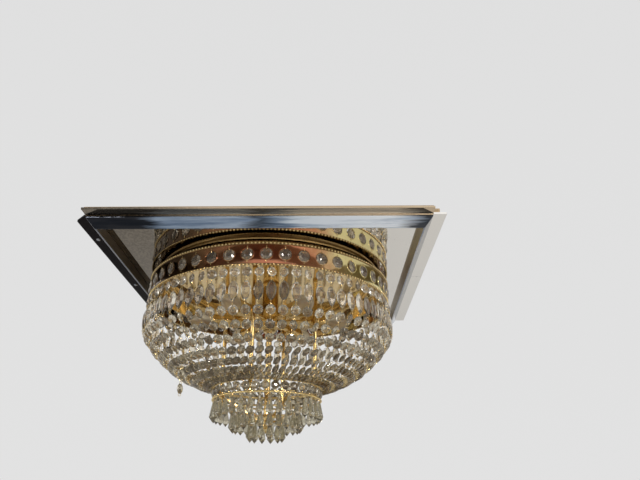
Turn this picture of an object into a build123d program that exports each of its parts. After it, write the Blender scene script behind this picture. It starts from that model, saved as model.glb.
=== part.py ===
from build123d import *
from collections import namedtuple
import math
import os

# Crystal basket chandelier under a mirror panel, as it hangs from a cab ceiling.
# Millimetres. +Z is up, and z = 0 is the back face of the panel, against the ceiling.
# +X runs along the panel's near edge and -Y is the side it is looked at from.
# "drop" always means a distance down from the face of the main mirror.
# Radii of many-sided rings and tubes are to the middles of their sides.

os.makedirs("parts", exist_ok=True)

# Clearance between two pieces that rest on or hang from one another
seat = 0.3

# Pierced band, the largest ring of the chandelier
band_radius = 214.0
band_sheet = 1.5
band_top_drop = 14.0
band_height = 31.0
hole_count = 46
hole_radius = 9.8
hole_sides = 8
rim_height = 2.6
rim_reach = 1.6
bracket_count = 6
bracket_width = 10.0
bracket_height = 6.0

# Mirror panel: how far its main mirror reaches past the band on each side
margin_left = 30.0
margin_right = 42.0
margin_near = 70.0
margin_far = 24.0
board_thickness = 6.0
board_inset = 10.0
mirror_thickness = 4.0
strip_width = 20.0
strip_thickness = 3.0
strip_joint = 0.3
right_strip_split = 0.48
left_strip_cut = 20.0
fixing_hole_radius = 2.5
fixing_inset = 40.0
cable_hole_radius = 8.0

# Bevelled bars on the main mirror's edges: steep foot, sloping face, narrow flat, inner face
trim_width = 15.0
trim_height = 15.0
trim_foot = 2.0
trim_flat = 2.5
trim_inner_slope = 1.5

# How far the chandelier is turned on the mirror, in degrees
chandelier_turn = 3.0

# Canopy: a plate on the mirror with a wall round it, open below
pan_stand_off = 9.5
pan_height = 30.0
pan_sheet = 1.5

# Crystals
bead_pitch = 22.6
bead_width = 14.2
bead_thickness = 5.6
bead_flank = 6.0
prism_pitch = 38.0
prism_width = 9.6
prism_thickness = 5.0
prism_shoulder = 0.62
prism_sides = 4
hole_bead_width = 16.2
hole_bead_flank = 8.0
row_bead_width = 13.3
row_bead_flank = 4.8
drop_length = 35.0
drop_width = 12.6
drop_sides = 6
drop_belly = 24.5

# Basket: strands that hang from the band and run in to the upper hoop
strand_count = 72
sector_count = 8
strand_lean = -5.0
basket_bead_count = 7
basket_first_angle = 33.0
basket_last_angle = 79.0
crowded_turn = 72.0

# Hoops below the basket, each tier of drops on a smaller and lower one
hoop_section = 3.0
upper_hoop_sides = 36
hoop_spacing = 20.0
lower_row_count = 36
tier_table = (
    # name, radius as a share of the lower hoop's, sides of its hoop, drops on it
    ("outer", 1.0, 24, 36),
    ("middle", 0.64, 16, 24),
    ("inner", 0.32, 12, 12),
)
arm_count = 4
arm_angle = 28.0
arm_width = 4.0
arm_thickness = 3.0
arm_fall = 0.5
boss_radius = 9.0
boss_height = 8.0
boss_sides = 12

# Rods, centre tube and nut
rod_count = 4
rod_radius = 3.5
rod_sides = 8
rod_angle = -17.0
tube_radius = 5.0
tube_sides = 8
nut_radius = 8.0
nut_height = 11.0
nut_end_radius = 3.5

# Lamps: a column with arms, each with a holder and a candle bulb
column_radius = 15.0
column_height = 92.0
column_sides = 12
lamp_count = 6
lamp_first_angle = 30.0
lamp_drop = 72.0
lamp_arm_radius = 4.0
lamp_arm_length = 52.0
lamp_arm_sides = 8
holder_radius = 12.0
holder_length = 34.0
holder_sides = 12
bulb_radius = 15.0
bulb_length = 46.0
bulb_sides = 8
bulb_table = (
    # place along the bulb as a share of its length, radius as a share of the largest
    (0.42, 0.55),
    (0.10, 1.0),
    (-0.22, 0.8),
)

# A strand end that has come loose and hangs straight down from one link
loose_strand_number = 62
loose_above_count = 5
loose_bead_count = 3
loose_turn = 30.0

mirror_width = 2 * band_radius + margin_left + margin_right
mirror_depth = 2 * band_radius + margin_near + margin_far
mirror_face = -(board_thickness + mirror_thickness)
chandelier_x = (margin_left - margin_right) / 2
chandelier_y = (margin_near - margin_far) / 2
hang = Location((chandelier_x, chandelier_y, mirror_face), (0, 0, chandelier_turn))


def polygon_solid(faces):
    return Solid(Shell(faces))


def flat_face(points):
    return Face(Wire.make_polygon([Vector(*p) for p in points], close=True))


def panels(radius, sides):
    """Regular polygon with the middle of one side facing -Y."""
    return RegularPolygon(radius, sides, major_radius=False, rotation=180.0 / sides - 90.0)


def below(height):
    """A place straight down from the mirror's face, on the chandelier's axis."""
    return Location((0, 0, -height))


def polygon_bar(radius, sides, top_drop, bottom_drop):
    """Upright many-sided bar on the axis, from one drop to another."""
    return extrude(panels(radius, sides), top_drop - bottom_drop).moved(below(top_drop))


def polygon_ring(outer_radius, inner_radius, sides, top_drop, height):
    """Ring of flat panels, one of them facing -Y."""
    ring = extrude(panels(outer_radius, sides) - panels(inner_radius, sides), -height)
    return ring.moved(below(top_drop))


def polygon_rod(radius, sides, inner_end, outer_end, drop):
    """Level many-sided bar that runs from near the axis outwards, towards -Y."""
    plane = Plane(origin=(0, -inner_end, -drop), x_dir=(1, 0, 0), z_dir=(0, -1, 0))
    return extrude(plane * panels(radius, sides), outer_end - inner_end)


def around(shape, angle):
    """The shape turned about the chandelier's axis. 0 degrees faces -Y."""
    return shape.moved(Location((0, 0, 0), (0, 0, angle)))


def save(name, pieces):
    solids = []
    for piece in pieces:
        solids.extend(piece.solids())
    export_step(Compound(children=[Solid(s.wrapped) for s in solids]), f"parts/{name}.step")


def save_hung(name, pieces):
    """Saves pieces that were made about the chandelier's axis, at its place on the mirror."""
    save(name, [piece.moved(hang) for piece in pieces])


def bead(width, height, thickness, flank):
    """Octagon bead with its wire loops drawn in as its two tips, and a crown on each face.

    The outline has six corners, or four where its upright flanks have no length.
    """
    right = [(width / 2, flank / 2), (width / 2, -flank / 2)] if flank else [(width / 2, 0)]
    left = [(-x, -z) for x, z in right]
    outline = [(0, height / 2)] + right + [(0, -height / 2)] + left
    ring = [(x, 0, z) for x, z in outline]
    faces = []
    for crown in ((0, -thickness / 2, 0), (0, thickness / 2, 0)):
        for k in range(len(ring)):
            faces.append(flat_face([ring[k], ring[(k + 1) % len(ring)], crown]))
    return polygon_solid(faces)


def spindle(rings, top, bottom, sides):
    """Faceted drop: rings are (z, half width, half thickness), closed by two points."""
    loops = []
    for z, half_width, half_thickness in rings:
        loop = []
        for k in range(sides):
            angle = 2 * math.pi * k / sides
            loop.append((half_width * math.cos(angle), half_thickness * math.sin(angle), z))
        loops.append(loop)
    faces = []
    for k in range(sides):
        n = (k + 1) % sides
        faces.append(flat_face([loops[0][k], loops[0][n], (0, 0, top)]))
        faces.append(flat_face([loops[-1][n], loops[-1][k], (0, 0, bottom)]))
        for upper, lower in zip(loops, loops[1:]):
            faces.append(flat_face([upper[n], upper[k], lower[k], lower[n]]))
    return polygon_solid(faces)


def frustum(top_radius, bottom_radius, sides, height):
    """Upright many-sided block that tapers downwards, its top face at the axis' origin."""
    loops = []
    for radius, z in ((top_radius, 0), (bottom_radius, -height)):
        turns = [2 * math.pi * (k + 0.5) / sides for k in range(sides)]
        loops.append([(radius * math.sin(t), -radius * math.cos(t), z) for t in turns])
    faces = [flat_face(loops[0]), flat_face(loops[1])]
    for k in range(sides):
        n = (k + 1) % sides
        faces.append(flat_face([loops[0][k], loops[0][n], loops[1][n], loops[1][k]]))
    return polygon_solid(faces)


def hung(shape, radius, drop, lean, azimuth):
    """A crystal at a radius and drop from the axis, leaned in, at an azimuth."""
    local = shape.moved(Location((0, 0, 0), (lean, 0, 0)))
    local = local.moved(Location((0, -radius, -drop)))
    return around(local, azimuth)


# Backing board, with screw holes near its corners and a hole for the cable
half_width = mirror_width / 2
half_depth = mirror_depth / 2
cable_place = Location((chandelier_x, chandelier_y, 0))
board_reach = strip_width - board_inset
board_plan = Rectangle(mirror_width, mirror_depth + 2 * board_reach)
for side, cut in ((1, 0), (-1, left_strip_cut)):
    wing = Rectangle(half_width + board_reach, mirror_depth - cut)
    board_plan += Location((side * (half_width + board_reach) / 2, cut / 2)) * wing
fixing_spacing = (mirror_width - 2 * fixing_inset, mirror_depth - 2 * fixing_inset)
board_plan -= Sketch() + GridLocations(*fixing_spacing, 2, 2) * Circle(fixing_hole_radius)
board_plan -= cable_place * panels(cable_hole_radius, tube_sides)
save("backing_board", [extrude(board_plan, -board_thickness)])

mirror_plan = Rectangle(mirror_width, mirror_depth)
mirror_plan -= cable_place * panels(cable_hole_radius, tube_sides)
save("main_mirror", [extrude(mirror_plan, -mirror_thickness).moved(below(board_thickness))])


def strip(*corners):
    """Flat mirror strip on the board, from its corners in plan."""
    return extrude(Polygon(*corners, align=None), -strip_thickness).moved(below(board_thickness))


def straight_strip(x_low, x_high, y_low, y_high):
    return strip((x_low, y_low), (x_high, y_low), (x_high, y_high), (x_low, y_high))


inner_x = half_width + strip_joint
inner_y = half_depth + strip_joint
outer_x = half_width + strip_width
outer_y = half_depth + strip_width
split_y = -half_depth + right_strip_split * mirror_depth
save("strip_near", [straight_strip(-half_width, half_width, -outer_y, -inner_y)])
save("strip_far", [straight_strip(-half_width, half_width, inner_y, outer_y)])
save(
    "strip_right",
    [
        straight_strip(inner_x, outer_x, -half_depth, split_y - strip_joint / 2),
        straight_strip(inner_x, outer_x, split_y + strip_joint / 2, half_depth),
    ],
)
left_corners = [
    (-inner_x, -half_depth),
    (-inner_x, half_depth),
    (-outer_x, half_depth),
    (-outer_x, -half_depth + left_strip_cut),
]
save("strip_left", [strip(*left_corners)])

trim_section = [
    # distance in from the mirror's edge, distance down from its face
    (0, 0),
    (0, trim_foot),
    (trim_width - trim_inner_slope - trim_flat, trim_height),
    (trim_width - trim_inner_slope, trim_height),
    (trim_width, 0),
]


def trim_bar(length, turn, reach):
    """Polished bar along the mirror's edge, with the section above, mitred at both ends."""
    ends = []
    for side in (-1, 1):
        ends.append(
            [(side * (length / 2 - inset), -reach + inset, -down) for inset, down in trim_section]
        )
    faces = [flat_face(ends[0]), flat_face(ends[1])]
    for k in range(len(trim_section)):
        n = (k + 1) % len(trim_section)
        faces.append(flat_face([ends[0][k], ends[0][n], ends[1][n], ends[1][k]]))
    bar = polygon_solid(faces).moved(Location((0, 0, mirror_face)))
    return bar.moved(Location((0, 0, 0), (0, 0, turn)))


trim_table = (
    # name, length along the edge, turn, distance from the centre to the edge
    ("trim_near", mirror_width - strip_joint, 0, half_depth),
    ("trim_right", mirror_depth - strip_joint, 90, half_width),
    ("trim_far", mirror_width - strip_joint, 180, half_depth),
    ("trim_left", mirror_depth - strip_joint, 270, half_width),
)
for name, length, turn, reach in trim_table:
    save(name, [trim_bar(length, turn, reach)])

# Canopy plate on the mirror, with the wall under its edge
pan_sides = hole_count // 2
pan_radius = band_radius - band_sheet - pan_stand_off
plate = polygon_bar(pan_radius, pan_sides, 0, pan_sheet)
plate -= polygon_bar(tube_radius + seat, tube_sides, 0, pan_sheet)
save_hung("canopy_plate", [plate])
wall_height = pan_height - pan_sheet
wall = polygon_ring(pan_radius, pan_radius - pan_sheet, pan_sides, pan_sheet, wall_height)
save_hung("canopy_wall", [wall])

# Pierced band with its two rims, on brackets that stand out from the canopy
band_bottom_drop = band_top_drop + band_height
hole_drop = band_top_drop + band_height / 2
band_inner_radius = band_radius - band_sheet
band = polygon_ring(band_radius, band_inner_radius, hole_count, band_top_drop, band_height)
hole_turns = [360.0 * k / hole_count for k in range(hole_count)]
hole_plane = Plane(origin=(0, -band_inner_radius + band_sheet, -hole_drop), z_dir=(0, -1, 0))
hole_plan = hole_plane * RegularPolygon(hole_radius, hole_sides, major_radius=False)
hole_tool = extrude(hole_plan, 2 * band_sheet, both=True)
band = band - [around(hole_tool, turn) for turn in hole_turns]
save_hung("pierced_band", [band])

rim_table = (
    # name, drop of the rim's top
    ("rim_upper", band_top_drop - rim_height),
    ("rim_lower", band_bottom_drop),
)
for name, top_drop in rim_table:
    rim = polygon_ring(
        band_radius + rim_reach, band_inner_radius, hole_count, top_drop, rim_height
    )
    save_hung(name, [rim])

bracket = Box(bracket_width, pan_stand_off - 2 * seat, bracket_height)
bracket_place = Location((0, -pan_radius - pan_stand_off / 2, -hole_drop + hole_radius))
brackets = []
for k in range(bracket_count):
    side = round(pan_sides * (k + 0.5) / bracket_count)
    brackets.append(around(bracket.moved(bracket_place), 360.0 * side / pan_sides))
save_hung("band_brackets", brackets)

hole_bead = bead(hole_bead_width, 2 * (hole_radius - seat), bead_thickness, hole_bead_flank)
save_hung(
    "band_crystals", [hung(hole_bead, band_radius, hole_drop, 0, turn) for turn in hole_turns]
)

# The strand's chain. It starts under the band's lower rim and ends at the upper hoop.
Link = namedtuple("Link", "kind radius drop angle pitch")


def strand_chain():
    """The strand's crystals from the top down, and the radius and drop of its lower end."""
    kinds = ["bead", "prism"] + ["bead"] * basket_bead_count
    angles = [strand_lean, strand_lean]
    step = (basket_last_angle - basket_first_angle) / (basket_bead_count - 1)
    angles += [basket_first_angle + step * k for k in range(basket_bead_count)]
    radius = band_radius - band_sheet / 2
    drop = band_bottom_drop + rim_height
    links = []
    for kind, angle in zip(kinds, angles):
        pitch = prism_pitch if kind == "prism" else bead_pitch
        run = math.sin(math.radians(angle)) * pitch
        fall = math.cos(math.radians(angle)) * pitch
        links.append(Link(kind, radius - run / 2, drop + fall / 2, angle, pitch))
        radius -= run
        drop += fall
    return links, radius, drop


links, hoop_outer_radius, strand_end_drop = strand_chain()
bead_shape = bead(bead_width, bead_pitch - seat, bead_thickness, bead_flank)
crowded_shape = bead(bead_width, bead_pitch - seat, bead_thickness, 0).moved(
    Location((0, 0, 0), (0, 0, crowded_turn))
)
prism_half = (prism_pitch - seat) / 2
prism_shape = spindle(
    [
        (prism_half * prism_shoulder, prism_width / 2, prism_thickness / 2),
        (-prism_half * prism_shoulder, prism_width / 2, prism_thickness / 2),
    ],
    prism_half,
    -prism_half,
    prism_sides,
)


def link_shape(link):
    """The link's crystal. Beads turn edge-on where the strands are too close to lie flat."""
    if link.kind == "prism":
        return prism_shape
    room = 2 * math.pi * link.radius / strand_count
    return bead_shape if room > bead_width + 2 * seat else crowded_shape


def strand(azimuth):
    return [hung(link_shape(link), link.radius, link.drop, link.angle, azimuth) for link in links]


strand_step = 360.0 / strand_count
per_sector = strand_count // sector_count
for sector in range(sector_count):
    pieces = []
    for k in range(per_sector):
        pieces += strand((sector * per_sector + k + 0.5) * strand_step)
    save_hung(f"strands_{sector + 1}", pieces)

# Loose end: beads that hang straight down from one link of the basket
torn = links[loose_above_count - 1]
torn_lean = math.radians(torn.angle)
loose_radius = torn.radius - math.sin(torn_lean) * torn.pitch / 2
loose_top_drop = torn.drop + math.cos(torn_lean) * torn.pitch / 2 + seat
loose_azimuth = (loose_strand_number + 0.5) * strand_step
loose_pieces = []
for k in range(loose_bead_count):
    loose_drop = loose_top_drop + bead_pitch * (k + 0.5)
    loose_bead = around(bead_shape, loose_turn * k)
    loose_pieces.append(hung(loose_bead, loose_radius, loose_drop, 0, loose_azimuth))
save_hung("loose_strand", loose_pieces)

# Upper hoop, the row of beads under it and the lower hoop
hoop_inner_radius = hoop_outer_radius - hoop_section
upper_hoop_top = strand_end_drop - hoop_section / 2
upper_hoop_bottom = upper_hoop_top + hoop_section
lower_hoop_top = upper_hoop_top + hoop_spacing
save_hung(
    "upper_hoop",
    [
        polygon_ring(
            hoop_outer_radius - seat, hoop_inner_radius, upper_hoop_sides, upper_hoop_top, hoop_section
        )
    ],
)

row_height = lower_hoop_top - upper_hoop_bottom
row_drop = upper_hoop_bottom + row_height / 2
row_bead = bead(row_bead_width, row_height - 2 * seat, bead_thickness, row_bead_flank)
row_turns = [360.0 * k / lower_row_count for k in range(lower_row_count)]
save_hung(
    "lower_bead_row", [hung(row_bead, hoop_outer_radius, row_drop, 0, turn) for turn in row_turns]
)

# Spider: sloping arms from a boss on the centre tube, with the tiers' hoops under them
arm_outer_radius = hoop_inner_radius + hoop_section / 2


def arm_underside(radius):
    """Drop of the arms' lower face at a radius. It touches the lower hoop's inner edge."""
    return lower_hoop_top - seat + arm_fall * (hoop_inner_radius - radius)


boss_top = arm_underside(boss_radius) - arm_thickness
boss_bottom = boss_top + boss_height
arm_profile = [
    (arm_outer_radius, arm_underside(arm_outer_radius)),
    (tube_radius + 2 * seat, arm_underside(tube_radius + 2 * seat)),
    (tube_radius + 2 * seat, arm_underside(tube_radius + 2 * seat) - arm_thickness),
    (arm_outer_radius, arm_underside(arm_outer_radius) - arm_thickness),
]
arm_plan = Plane.YZ * Polygon(*[(-radius, -drop) for radius, drop in arm_profile], align=None)
arm = extrude(arm_plan, arm_width / 2, both=True)
spider = polygon_bar(boss_radius, boss_sides, boss_top, boss_bottom)
for k in range(arm_count):
    spider += around(arm, arm_angle + 360.0 * k / arm_count)
spider -= polygon_bar(tube_radius + seat, tube_sides, boss_top - boss_height, boss_bottom)
save_hung("drop_spider", [spider])

drop_half = drop_length / 2
drop_shape = spindle(
    [(drop_half - drop_belly, drop_width / 2, drop_width / 2)], drop_half, -drop_half, drop_sides
)
for name, share, sides, count in tier_table:
    outer_radius = hoop_outer_radius * share
    inner_radius = outer_radius - hoop_section
    hoop_top = arm_underside(inner_radius) + seat
    hoop = polygon_ring(outer_radius, inner_radius, sides, hoop_top, hoop_section)
    save_hung(f"hoop_{name}", [hoop])
    middle_radius = (outer_radius + inner_radius) / 2
    tier_drop = hoop_top + hoop_section + seat + drop_half
    tier_turns = [360.0 * (k + 0.5) / count for k in range(count)]
    drops = [hung(drop_shape, middle_radius, tier_drop, 0, turn) for turn in tier_turns]
    save_hung(f"drops_{name}", drops)

# Rods from the canopy plate to the lower hoop, inside both hoops
rod_ring_radius = hoop_inner_radius - rod_radius - seat
rod = polygon_bar(rod_radius, rod_sides, pan_sheet, lower_hoop_top + hoop_section)
rod = rod.moved(Location((0, -rod_ring_radius, 0)))
save_hung("hanging_rods", [around(rod, rod_angle + 360.0 * k / rod_count) for k in range(rod_count)])

# Centre tube, and the nut that holds the spider on its end
save_hung("centre_tube", [polygon_bar(tube_radius, tube_sides, 0, boss_bottom)])
nut = frustum(nut_radius, nut_end_radius, tube_sides, nut_height)
save_hung("bottom_nut", [nut.moved(below(boss_bottom))])

# Lamp column round the tube, with the lamps
column_bottom = pan_sheet + column_height
column = polygon_bar(column_radius, column_sides, pan_sheet, column_bottom)
column -= polygon_bar(tube_radius + seat, tube_sides, pan_sheet, column_bottom)
save_hung("lamp_column", [column])

holder_start = column_radius + lamp_arm_length
bulb_start = holder_start + holder_length
lamp_turns = [lamp_first_angle + 360.0 * k / lamp_count for k in range(lamp_count)]
lamp_arm = polygon_rod(lamp_arm_radius, lamp_arm_sides, column_radius, holder_start, lamp_drop)
holder = polygon_rod(holder_radius, holder_sides, holder_start, bulb_start, lamp_drop)
bulb_rings = [
    (place * bulb_length, share * bulb_radius, share * bulb_radius) for place, share in bulb_table
]
bulb = spindle(bulb_rings, bulb_length / 2, -bulb_length / 2, bulb_sides)
bulb = bulb.moved(Location((0, 0, 0), (90, 0, 0)))
bulb = bulb.moved(Location((0, -bulb_start - seat - bulb_length / 2, -lamp_drop)))
save_hung("lamp_arms", [around(lamp_arm, turn) for turn in lamp_turns])
save_hung("lamp_holders", [around(holder, turn) for turn in lamp_turns])
save_hung("bulbs", [around(bulb, turn) for turn in lamp_turns])
print("mirror", mirror_width, "x", mirror_depth, "holes at", fixing_spacing)
print("hoop radius", round(hoop_outer_radius, 1), "drop", round(upper_hoop_top, 1))
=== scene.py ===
import math

import bmesh
import bpy
import numpy as np
from mathutils import Matrix, Vector


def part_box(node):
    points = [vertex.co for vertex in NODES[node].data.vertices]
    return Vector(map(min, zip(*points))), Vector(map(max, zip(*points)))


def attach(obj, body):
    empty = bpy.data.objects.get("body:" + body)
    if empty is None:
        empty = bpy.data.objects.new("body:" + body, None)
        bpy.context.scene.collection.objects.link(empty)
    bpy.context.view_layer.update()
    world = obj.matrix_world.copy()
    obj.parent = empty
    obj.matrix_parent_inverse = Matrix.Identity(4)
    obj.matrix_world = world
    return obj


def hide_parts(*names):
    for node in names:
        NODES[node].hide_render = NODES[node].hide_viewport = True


# Looks of a crystal basket chandelier under a framed mirror panel.
# Everything is in metres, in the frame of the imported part. Local shapes are drawn in
# millimetres and scaled by MM. z = 0 is the panel's back face, and the crystals hang below.
# A "drop" is a distance in millimetres down from the face of the main mirror.

MM = 0.001
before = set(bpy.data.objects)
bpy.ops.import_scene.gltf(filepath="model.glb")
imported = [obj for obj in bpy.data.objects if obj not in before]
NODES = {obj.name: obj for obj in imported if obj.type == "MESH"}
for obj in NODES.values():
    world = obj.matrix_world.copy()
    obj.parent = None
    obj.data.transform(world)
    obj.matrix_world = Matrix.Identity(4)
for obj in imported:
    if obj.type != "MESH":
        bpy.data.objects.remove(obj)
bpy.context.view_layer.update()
random = np.random.default_rng(7)

# The chandelier's axis, on the face of the main mirror
tube_low, tube_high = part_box("centre_tube")
AXIS = Vector(((tube_low.x + tube_high.x) / 2, (tube_low.y + tube_high.y) / 2, tube_high.z))

# Camera: where the photograph was taken from, looking up at the panel. Angles are in degrees.
CAMERA_PLACE = (0.0916, -1.0302, -0.4002)
CAMERA_PITCH = 24.52
CAMERA_YAW = -0.32
CAMERA_ROLL = -0.10
FOCAL_PIXELS = 600.0
PHOTO_WIDTH = 640.0
SENSOR = 36.0

FLOOR_BELOW_CAMERA = 0.012
FLOOR_REACH = 6.0


# Meshes

def smooth(mesh, angle):
    """Smooth shading, apart from edges that turn by more than an angle in degrees."""
    mesh.polygons.foreach_set("use_smooth", [True] * len(mesh.polygons))
    mesh.set_sharp_from_angle(angle=math.radians(angle))


class Shape:
    """Vertices and faces that are gathered from many small pieces into one mesh."""

    def __init__(self):
        self.verts = []
        self.faces = []
        self.count = 0

    def add(self, verts, faces, matrix):
        """Adds a small piece, which the matrix takes from local millimetres to metres."""
        turned = np.array(matrix, float)
        verts = np.asarray(verts, float) @ turned[:3, :3].T + turned[:3, 3]
        self.verts.append(verts)
        self.faces.extend([tuple(i + self.count for i in face) for face in faces])
        self.count += len(verts)
        return self

    def make(self, name, material, slot, replaces=(), smooth_angle=None):
        """One object of all that was added, flat shaded unless it gets a smooth angle."""
        mesh = bpy.data.meshes.new(name)
        mesh.from_pydata(np.concatenate(self.verts).tolist(), [], self.faces)
        mesh.validate()
        mesh.update()
        if smooth_angle is not None:
            smooth(mesh, smooth_angle)
        piece = bpy.data.objects.new(name, mesh)
        bpy.context.scene.collection.objects.link(piece)
        mesh.materials.append(material)
        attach(piece, "root")
        if replaces:
            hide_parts(*replaces)
        return piece


def weld(piece, distance, angle):
    """Joins the seams of a piece for good, then smooths it up to an angle."""
    work = bmesh.new()
    work.from_mesh(piece.data)
    bmesh.ops.remove_doubles(work, verts=work.verts, dist=distance)
    bmesh.ops.recalc_face_normals(work, faces=work.faces)
    work.to_mesh(piece.data)
    work.free()
    smooth(piece.data, angle)


def loft(rings, closed=False):
    """Faces between rings of equally many points, with flat ends unless it is closed."""
    sides = len(rings[0])
    verts = [p for ring in rings for p in ring]
    faces = []
    pairs = len(rings) if closed else len(rings) - 1
    for r in range(pairs):
        low = r * sides
        high = ((r + 1) % len(rings)) * sides
        for k in range(sides):
            n = (k + 1) % sides
            faces.append((low + k, low + n, high + n, high + k))
    if not closed:
        top = (len(rings) - 1) * sides
        faces.append(tuple(reversed(range(sides))))
        faces.append(tuple(range(top, top + sides)))
    return verts, faces


def circle(radius, z, sides, turn=0.0):
    """Points of a level circle about the local Z axis."""
    points = []
    for k in range(sides):
        angle = turn + 2 * math.pi * k / sides
        points.append((radius * math.cos(angle), radius * math.sin(angle), z))
    return points


def lathe(profile, sides):
    """Turned solid on the local Z axis from (radius, z) pairs, bottom to top."""
    return loft([circle(radius, z, sides) for radius, z in profile])


def turned_ring(section, sides):
    """Ring round the local Z axis from a closed (radius, z) section."""
    rings = []
    for k in range(sides):
        angle = 2 * math.pi * k / sides
        rings.append([(r * math.cos(angle), r * math.sin(angle), z) for r, z in section])
    return loft(rings, closed=True)


def ring_section(inner, outer, top, bottom, cut):
    """Section of a flat ring between two radii and two drops, with its corners cut off."""
    corners = [(inner, -top), (inner, -bottom), (outer, -bottom), (outer, -top)]
    points = []
    for k, corner in enumerate(corners):
        here = Vector(corner)
        for other in (corners[k - 1], corners[(k + 1) % len(corners)]):
            edge = Vector(other) - here
            points.append(tuple(here + edge.normalized() * min(cut, edge.length * 0.4)))
    return points


def torus(major, minor, around, across):
    """Ring of round wire in the local X-Z plane."""
    rings = []
    for k in range(around):
        a = 2 * math.pi * k / around
        ring = []
        for j in range(across):
            b = 2 * math.pi * j / across
            reach = major + minor * math.cos(b)
            ring.append((reach * math.cos(a), minor * math.sin(b), reach * math.sin(a)))
        rings.append(ring)
    return loft(rings, closed=True)


def ball(radius, sides=8, rows=5):
    """Small pearl on the local origin."""
    rings = []
    for j in range(1, rows):
        angle = math.pi * j / rows
        rings.append(circle(radius * math.sin(angle), -radius * math.cos(angle), sides))
    return loft(rings)


def wire(points, radius, sides=6):
    """Round wire through points, in the same units as the points."""
    rings = []
    last_side = None
    for k, point in enumerate(points):
        before = Vector(points[max(k - 1, 0)])
        after = Vector(points[min(k + 1, len(points) - 1)])
        run = (after - before).normalized()
        side = run.orthogonal().normalized()
        if last_side is not None and abs(side.dot(last_side)) < 0.9:
            # Keeps to the last ring's side, so that the wire isn't twisted
            side = (last_side - run * last_side.dot(run)).normalized()
        last_side = side
        up = run.cross(side)
        ring = []
        for j in range(sides):
            a = 2 * math.pi * j / sides
            ring.append(tuple(Vector(point) + (side * math.cos(a) + up * math.sin(a)) * radius))
        rings.append(ring)
    return loft(rings)


# Places: where the solids of the frame are

def basis(place, x_axis, y_axis, z_axis):
    """Matrix from local millimetres to the frame's metres."""
    matrix = Matrix.Identity(4)
    for column, axis in enumerate((x_axis, y_axis, z_axis)):
        for row in range(3):
            matrix[row][column] = axis[row] * MM
    for row in range(3):
        matrix[row][3] = place[row]
    return matrix


def hung_at(place):
    """Local millimetres at a place in the frame's metres, with level axes."""
    return Matrix.Translation(place) @ Matrix.Scale(MM, 4)


def about_axis(drop=0.0):
    """Local millimetres about the chandelier's axis, at a drop."""
    return hung_at(AXIS - Vector((0, 0, drop * MM)))


def round_axis(radius, angle, drop):
    """Local millimetres at a radius and drop, at an angle about the chandelier's axis."""
    place = (radius * math.cos(angle), radius * math.sin(angle), -drop)
    return about_axis() @ Matrix.Translation(place)


def drop_of(z):
    """Drop of a height in the frame."""
    return (AXIS.z - z) / MM


def drops_of(node_name):
    """Drops of a node's top and bottom."""
    low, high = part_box(node_name)
    return drop_of(high.z), drop_of(low.z)


def islands(node_name):
    """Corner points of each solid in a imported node, as a list of arrays."""
    mesh = NODES[node_name].data
    points = np.array([v.co for v in mesh.vertices], float)
    welded, index = np.unique(np.round(points, 6), axis=0, return_inverse=True)
    index = index.ravel()
    parent = list(range(len(welded)))

    def root(i):
        while parent[i] != i:
            parent[i] = parent[parent[i]]
            i = parent[i]
        return i

    for edge in mesh.edges:
        a, b = (root(index[v]) for v in edge.vertices)
        parent[a] = b
    groups = {}
    for i in range(len(welded)):
        groups.setdefault(root(i), []).append(i)
    return [welded[g] for g in groups.values()]


def outward(point):
    """Unit vector from the axis to a point, level."""
    away = Vector((point[0] - AXIS.x, point[1] - AXIS.y, 0))
    return away.normalized()


class Crystal:
    """Where one crystal of the frame hangs: its middle, length, and three axes."""

    def __init__(self, points):
        reaches = np.linalg.norm(points[:, None] - points[None], axis=2)
        a, b = np.unravel_index(reaches.argmax(), reaches.shape)
        top, bottom = (a, b) if points[a][2] > points[b][2] else (b, a)
        self.length = reaches[a, b] / MM
        self.middle = Vector((points[top] + points[bottom]) / 2)
        self.up = Vector(points[top] - points[bottom]).normalized()
        rest = [Vector(p) - self.middle for k, p in enumerate(points) if k not in (a, b)]
        rest = [p - self.up * p.dot(self.up) for p in rest]
        crown = min(rest, key=lambda p: p.length)
        self.normal = crown.normalized()
        if self.normal.dot(outward(self.middle)) < 0:
            self.normal = -self.normal
        self.side = self.normal.cross(self.up).normalized()

    def facing(self):
        """How far the flat side is turned from facing straight out, about the long axis."""
        away = outward(self.middle)
        away = (away - self.up * away.dot(self.up)).normalized()
        return math.atan2(away.cross(self.normal).dot(self.up), away.dot(self.normal))

    def matrix(self, swing=0.0):
        """Local millimetres on the crystal, turned by a swing about its long axis."""
        turn = Matrix.Rotation(swing, 3, self.up)
        return basis(self.middle, turn @ self.side, turn @ self.normal, self.up)


def crystals(node_name):
    """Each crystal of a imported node."""
    return [Crystal(points) for points in islands(node_name)]


def chance(amount):
    """A small angle by chance, in radians."""
    return float(random.normal(0, amount))


# Nodes that the materials share

# Sockets of a colour mix node
MIX_FIRST = 6
MIX_SECOND = 7
MIX_RESULT = 2


def new_material(name, **constants):
    """Material with constants on its shader, such as Coat_Weight for its Coat Weight."""
    material = bpy.data.materials.new(name)
    material.use_nodes = True
    tree = material.node_tree
    shader = tree.nodes["Principled BSDF"]
    for key, value in constants.items():
        shader.inputs[key.replace("_", " ")].default_value = value
    return material, tree, shader


def node(tree, kind, **values):
    """New node, with each value set on the input or else the property of its name."""
    made = tree.nodes.new(kind)
    for key, value in values.items():
        if key in made.inputs:
            made.inputs[key].default_value = value
        else:
            setattr(made, key, value)
    return made


def object_coords(tree, scale=(1, 1, 1)):
    """Coordinates of the piece itself in metres, scaled on each axis."""
    coords = node(tree, "ShaderNodeTexCoord")
    mapping = node(tree, "ShaderNodeMapping", Scale=scale)
    tree.links.new(coords.outputs["Object"], mapping.inputs["Vector"])
    return mapping.outputs["Vector"]


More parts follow.
